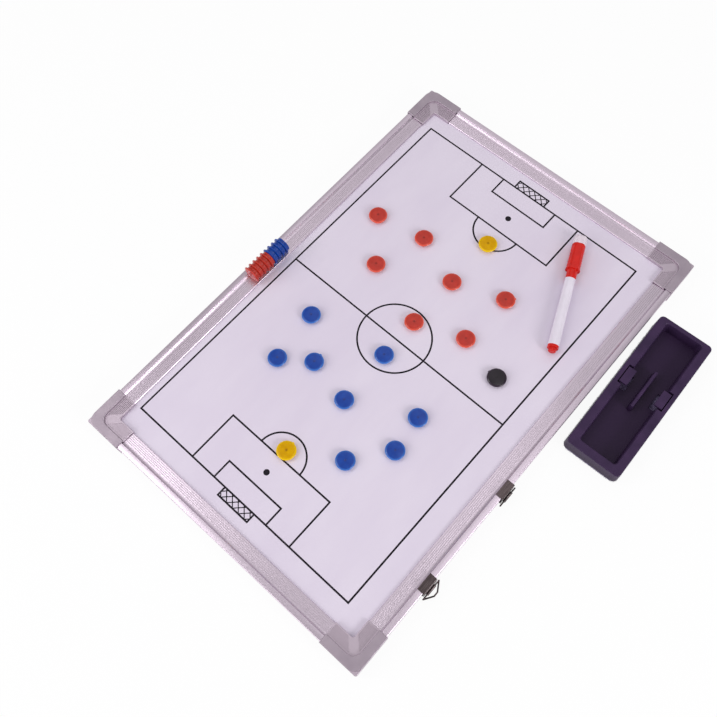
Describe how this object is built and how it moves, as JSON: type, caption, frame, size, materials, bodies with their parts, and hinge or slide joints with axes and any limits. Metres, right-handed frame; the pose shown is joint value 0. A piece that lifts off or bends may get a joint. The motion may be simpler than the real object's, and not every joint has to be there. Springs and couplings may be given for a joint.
{
  "type": "tactics board",
  "caption": "Aluminium-framed magnetic whiteboard printed with a football pitch, with sliding hanger clips, round counter magnets, a capped marker and a tray-backed felt eraser.",
  "frame": {"origin": "middle of the board on the plane of the corner caps' undersides, where it lies on a table", "axes": "+X along the board's length, +Y towards the rail with the hanger clips (the top when hung), +Z out of the writing face"},
  "size_m": [0.45, 0.3594, 0.0299],
  "materials": {
    "rail_aluminium": "satin anodised",
    "corner_plastic": "fine matt moulding",
    "screw_steel": "zinc plated",
    "white_steel": "smooth white lacquer",
    "print_ink": "screen-printed",
    "core_fibre": "fibreboard",
    "back_steel": "galvanised",
    "nickel": "nickel plated",
    "white_plastic": "moulded",
    "nib_fibre": "bonded fibre",
    "ink_fibre": "ink-soaked fibre",
    "red_plastic": "moulded",
    "blue_plastic": "moulded",
    "yellow_plastic": "moulded",
    "black_plastic": "moulded",
    "grey_felt": "pressed felt",
    "ferrite": "sintered",
    "eraser_plastic": "fine matt moulding",
    "dark_felt": "pressed felt"
  },
  "bodies": {
    "board": {"rail_bottom": "rail_aluminium", "rail_right": "rail_aluminium", "rail_top": "rail_aluminium", "rail_left": "rail_aluminium", "corner_bottom_left": "corner_plastic", "corner_bottom_right": "corner_plastic", "corner_top_right": "corner_plastic", "corner_top_left": "corner_plastic", "corner_screws": "screw_steel", "face_sheet": "white_steel", "pitch_print": "print_ink", "core_board": "core_fibre", "back_sheet": "back_steel"},
    "clip_inner": {"clip_inner": "nickel"},
    "clip_outer": {"clip_outer": "nickel"},
    "bail_inner": {"bail_inner": "nickel"},
    "bail_outer": {"bail_outer": "nickel"},
    "magnet_red_1": {"magnet_red_1": "red_plastic"},
    "magnet_red_2": {"magnet_red_2": "red_plastic"},
    "magnet_red_3": {"magnet_red_3": "red_plastic"},
    "magnet_red_4": {"magnet_red_4": "red_plastic"},
    "magnet_red_5": {"magnet_red_5": "red_plastic"},
    "magnet_red_6": {"magnet_red_6": "red_plastic"},
    "magnet_red_7": {"magnet_red_7": "red_plastic"},
    "magnet_yellow_1": {"magnet_yellow_1": "yellow_plastic"},
    "magnet_yellow_2": {"magnet_yellow_2": "yellow_plastic"},
    "magnet_blue_1": {"magnet_blue_1": "blue_plastic"},
    "magnet_blue_2": {"magnet_blue_2": "blue_plastic"},
    "magnet_blue_3": {"magnet_blue_3": "blue_plastic"},
    "magnet_blue_4": {"magnet_blue_4": "blue_plastic"},
    "magnet_blue_5": {"magnet_blue_5": "blue_plastic"},
    "magnet_blue_6": {"magnet_blue_6": "blue_plastic"},
    "magnet_blue_7": {"magnet_blue_7": "blue_plastic"},
    "magnet_blue_8": {"magnet_blue_8": "blue_plastic"},
    "magnet_black": {"magnet_black": "black_plastic"},
    "stack": {"stack_red": "red_plastic", "stack_blue": "blue_plastic", "stack_discs": "ferrite"},
    "marker_cap": {"marker_cap": "red_plastic", "marker_felt": "grey_felt", "marker_magnet": "ferrite"},
    "marker_pen": {"marker_barrel": "white_plastic", "marker_nib": "nib_fibre", "marker_ink": "ink_fibre", "marker_plug": "red_plastic"},
    "eraser": {"eraser_body": "eraser_plastic", "eraser_pad": "dark_felt"}
  },
  "joints": [
    {"name": "clip_inner_slide", "type": "slide", "parent": "board", "child": "clip_inner", "axis": [1, 0, 0], "range_m": [-0.03, 0.045]},
    {"name": "clip_outer_slide", "type": "slide", "parent": "board", "child": "clip_outer", "axis": [1, 0, 0], "range_m": [-0.025, 0.036]},
    {"name": "bail_inner_swing", "type": "hinge", "parent": "clip_inner", "child": "bail_inner", "pos_m": [0.04284, 0.1517, 0.0022], "axis": [1, 0, 0], "range_deg": [-170, 0]},
    {"name": "bail_outer_swing", "type": "hinge", "parent": "clip_outer", "child": "bail_outer", "pos_m": [0.13932, 0.1517, 0.0022], "axis": [1, 0, 0], "range_deg": [-80, 90]},
    {"name": "magnet_red_1_slide", "type": "slide", "parent": "board", "child": "magnet_red_1", "axis": [1, 0, 0], "range_m": [-0.06, 0.06]},
    {"name": "magnet_red_2_slide", "type": "slide", "parent": "board", "child": "magnet_red_2", "axis": [1, 0, 0], "range_m": [-0.06, 0.01]},
    {"name": "magnet_red_3_slide", "type": "slide", "parent": "board", "child": "magnet_red_3", "axis": [1, 0, 0], "range_m": [-0.025, 0.025]},
    {"name": "magnet_red_4_slide", "type": "slide", "parent": "board", "child": "magnet_red_4", "axis": [1, 0, 0], "range_m": [-0.032, 0.033]},
    {"name": "magnet_red_5_slide", "type": "slide", "parent": "board", "child": "magnet_red_5", "axis": [1, 0, 0], "range_m": [-0.06, 0.015]},
    {"name": "magnet_red_6_slide", "type": "slide", "parent": "board", "child": "magnet_red_6", "axis": [0, 1, 0], "range_m": [-0.04, 0.025]},
    {"name": "magnet_red_7_slide", "type": "slide", "parent": "board", "child": "magnet_red_7", "axis": [1, 0, 0], "range_m": [-0.015, 0.055]},
    {"name": "magnet_yellow_1_slide", "type": "slide", "parent": "board", "child": "magnet_yellow_1", "axis": [0, 1, 0], "range_m": [-0.027, 0.027]},
    {"name": "magnet_yellow_2_slide", "type": "slide", "parent": "board", "child": "magnet_yellow_2", "axis": [0, 1, 0], "range_m": [-0.035, 0.022]},
    {"name": "magnet_blue_1_slide", "type": "slide", "parent": "board", "child": "magnet_blue_1", "axis": [1, 0, 0], "range_m": [-0.028, 0.025]},
    {"name": "magnet_blue_2_slide", "type": "slide", "parent": "board", "child": "magnet_blue_2", "axis": [1, 0, 0], "range_m": [-0.004, 0.06]},
    {"name": "magnet_blue_3_slide", "type": "slide", "parent": "board", "child": "magnet_blue_3", "axis": [1, 0, 0], "range_m": [-0.06, 0.05]},
    {"name": "magnet_blue_4_slide", "type": "slide", "parent": "board", "child": "magnet_blue_4", "axis": [1, 0, 0], "range_m": [-0.02, 0.033]},
    {"name": "magnet_blue_5_slide", "type": "slide", "parent": "board", "child": "magnet_blue_5", "axis": [0, 1, 0], "range_m": [-0.022, 0.04]},
    {"name": "magnet_blue_6_slide", "type": "slide", "parent": "board", "child": "magnet_blue_6", "axis": [0, 1, 0], "range_m": [-0.038, 0.05]},
    {"name": "magnet_blue_7_slide", "type": "slide", "parent": "board", "child": "magnet_blue_7", "axis": [1, 0, 0], "range_m": [-0.014, 0.08]},
    {"name": "magnet_blue_8_slide", "type": "slide", "parent": "board", "child": "magnet_blue_8", "axis": [1, 0, 0], "range_m": [-0.019, 0.06]},
    {"name": "magnet_black_slide", "type": "slide", "parent": "board", "child": "magnet_black", "axis": [1, 0, 0], "range_m": [-0.04, 0.05]},
    {"name": "stack_slide", "type": "slide", "parent": "board", "child": "stack", "axis": [1, 0, 0], "range_m": [-0.12, 0.1]},
    {"name": "marker_lift", "type": "slide", "parent": "board", "child": "marker_cap", "axis": [0, 0, 1], "range_m": [0, 0.06]},
    {"name": "marker_pull", "type": "slide", "parent": "marker_cap", "child": "marker_pen", "axis": [0.9169, 0.3991, 0], "range_m": [0, 0.04]},
    {"name": "eraser_lift", "type": "slide", "parent": "board", "child": "eraser", "axis": [0, 0, 1], "range_m": [0, 0.08]}
  ]
}
